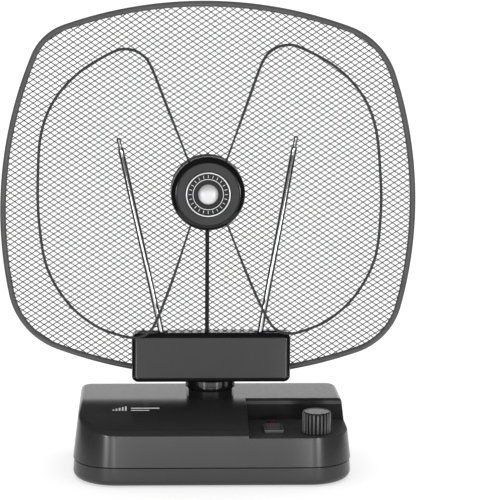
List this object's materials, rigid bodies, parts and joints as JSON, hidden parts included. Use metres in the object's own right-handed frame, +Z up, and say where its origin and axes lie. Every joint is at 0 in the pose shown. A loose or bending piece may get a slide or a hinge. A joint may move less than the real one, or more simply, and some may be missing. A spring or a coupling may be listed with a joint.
{
  "type": "rabbit ears antenna",
  "caption": "Indoor television antenna with a swivelling mesh reflector, wire loops and telescopic rods on a control base.",
  "frame": {"origin": "middle of the bounding box at table height, under the base", "axes": "+Z up, +X to the right seen from the front, front of the base towards -Y"},
  "size_m": [0.2864, 0.102, 0.323],
  "materials": {
    "housing_plastic": "fine satin black moulding",
    "gloss_black_plastic": "polished black moulding",
    "knob_plastic": "dark grey satin moulding",
    "socket_plastic": "plain black moulding",
    "rubber": "matt black rubber",
    "steel": "zinc-plated steel",
    "brass": "turned or pressed brass",
    "chrome": "bright chrome plate",
    "rim_paint": "matt dark grey powder coat",
    "wire_paint": "satin black paint",
    "inlay_metal": "spun bright disc",
    "circuit_board": "green circuit board",
    "led_red": "clear red lens"
  },
  "bodies": {
    "base": {"base_upper_shell": "housing_plastic", "base_lower_shell": "housing_plastic", "foot_back_left": "rubber", "foot_back_right": "rubber", "foot_front_left": "rubber", "foot_front_right": "rubber", "base_screw_back_left": "steel", "base_screw_back_right": "steel", "base_screw_front_left": "steel", "base_screw_front_right": "steel", "ballast_plate": "steel", "amplifier_board": "circuit_board", "board_screw_1": "steel", "board_screw_2": "steel", "gain_pot_body": "socket_plastic", "power_switch_body": "socket_plastic", "power_led": "led_red", "dc_inlet": "socket_plastic", "coax_outlet": "socket_plastic", "lead_socket": "brass"},
    "gain": {"gain_knob": "knob_plastic", "gain_pot_shaft": "steel"},
    "rocker": {"power_rocker": "knob_plastic"},
    "head": {"swivel_collar": "gloss_black_plastic", "swivel_nut": "brass", "head_front_shell": "housing_plastic", "head_back_plate": "socket_plastic", "head_rear_cover": "housing_plastic", "head_screw_left": "steel", "head_screw_right": "steel", "matching_board": "circuit_board", "inner_lead": "rubber", "reflector_rim": "rim_paint", "reflector_mesh": "rim_paint", "hub_body": "housing_plastic", "hub_cap": "gloss_black_plastic", "hub_inlay": "inlay_metal", "hub_screw": "steel", "hub_washer": "steel", "wire_loop_left": "wire_paint", "wire_loop_right": "wire_paint", "feed_tube": "wire_paint", "rod_bracket_left": "brass", "rod_bracket_right": "brass", "rod_pin_left": "steel", "rod_pin_right": "steel"},
    "left_rod": {"rod_knuckle_left": "chrome", "rod_tube_1_left": "chrome"},
    "left_rod_2": {"rod_tube_2_left": "chrome"},
    "left_rod_3": {"rod_tube_3_left": "chrome"},
    "left_rod_4": {"rod_core_left": "chrome", "rod_tip_left": "chrome"},
    "right_rod": {"rod_knuckle_right": "chrome", "rod_tube_1_right": "chrome"},
    "right_rod_2": {"rod_tube_2_right": "chrome"},
    "right_rod_3": {"rod_tube_3_right": "chrome"},
    "right_rod_4": {"rod_core_right": "chrome", "rod_tip_right": "chrome"}
  },
  "joints": [
    {"name": "head_turn", "type": "hinge", "parent": "base", "child": "head", "pos_m": [0, 0.014, 0], "axis": [0, 0, 1], "range_deg": [-90, 90]},
    {"name": "gain_turn", "type": "hinge", "parent": "base", "child": "gain", "pos_m": [0.0706, -0.0335, 0], "axis": [0, 0, 1], "range_deg": [-150, 150]},
    {"name": "power_rock", "type": "hinge", "parent": "base", "child": "rocker", "pos_m": [0.0417, -0.0283, 0.0329], "axis": [1, 0, 0], "range_deg": [-16.4, 0]},
    {"name": "left_rod_swing", "type": "hinge", "parent": "head", "child": "left_rod", "pos_m": [-0.0326, 0.002, 0.0874], "axis": [0, -1, 0], "range_deg": [-12, 41.8]},
    {"name": "left_rod_slide_1", "type": "slide", "parent": "left_rod", "child": "left_rod_2", "axis": [-0.2113, 0, 0.9774], "range_m": [0, 0.105]},
    {"name": "left_rod_slide_2", "type": "slide", "parent": "left_rod_2", "child": "left_rod_3", "axis": [-0.2113, 0, 0.9774], "range_m": [0, 0.105]},
    {"name": "left_rod_slide_3", "type": "slide", "parent": "left_rod_3", "child": "left_rod_4", "axis": [-0.2113, 0, 0.9774], "range_m": [0, 0.1]},
    {"name": "right_rod_swing", "type": "hinge", "parent": "head", "child": "right_rod", "pos_m": [0.0326, 0.002, 0.0874], "axis": [0, 1, 0], "range_deg": [-9.6, 44.2]},
    {"name": "right_rod_slide_1", "type": "slide", "parent": "right_rod", "child": "right_rod_2", "axis": [0.1702, 0, 0.9854], "range_m": [0, 0.105]},
    {"name": "right_rod_slide_2", "type": "slide", "parent": "right_rod_2", "child": "right_rod_3", "axis": [0.1702, 0, 0.9854], "range_m": [0, 0.105]},
    {"name": "right_rod_slide_3", "type": "slide", "parent": "right_rod_3", "child": "right_rod_4", "axis": [0.1702, 0, 0.9854], "range_m": [0, 0.1]}
  ]
}
